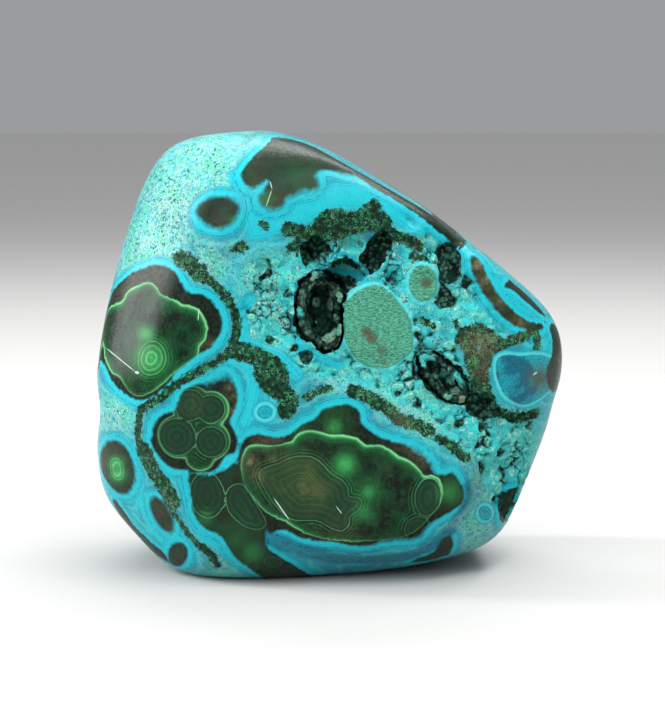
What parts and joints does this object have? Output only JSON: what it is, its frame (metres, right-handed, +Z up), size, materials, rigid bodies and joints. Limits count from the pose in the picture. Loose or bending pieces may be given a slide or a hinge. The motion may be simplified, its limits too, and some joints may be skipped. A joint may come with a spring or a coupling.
{
  "type": "chrysocolla specimen",
  "caption": "Polished free-form stone of banded chrysocolla and malachite that stands on a flat base, with open hollows lined by beaded crusts in its show face.",
  "frame": {"origin": "centre of the bounding box at the underside, which is the ground base flat at z = 0", "axes": "+X to the right as seen from the show face, +Y away from the viewer towards the plain back, +Z up"},
  "size_m": [0.1106, 0.0716, 0.1044],
  "materials": {
    "polished_stone": "polished",
    "beaded_crust": "matte"
  },
  "bodies": {
    "root": {"stone": "polished_stone", "main_hollow_crust": "beaded_crust", "cleft_crust": "beaded_crust"}
  },
  "joints": []
}
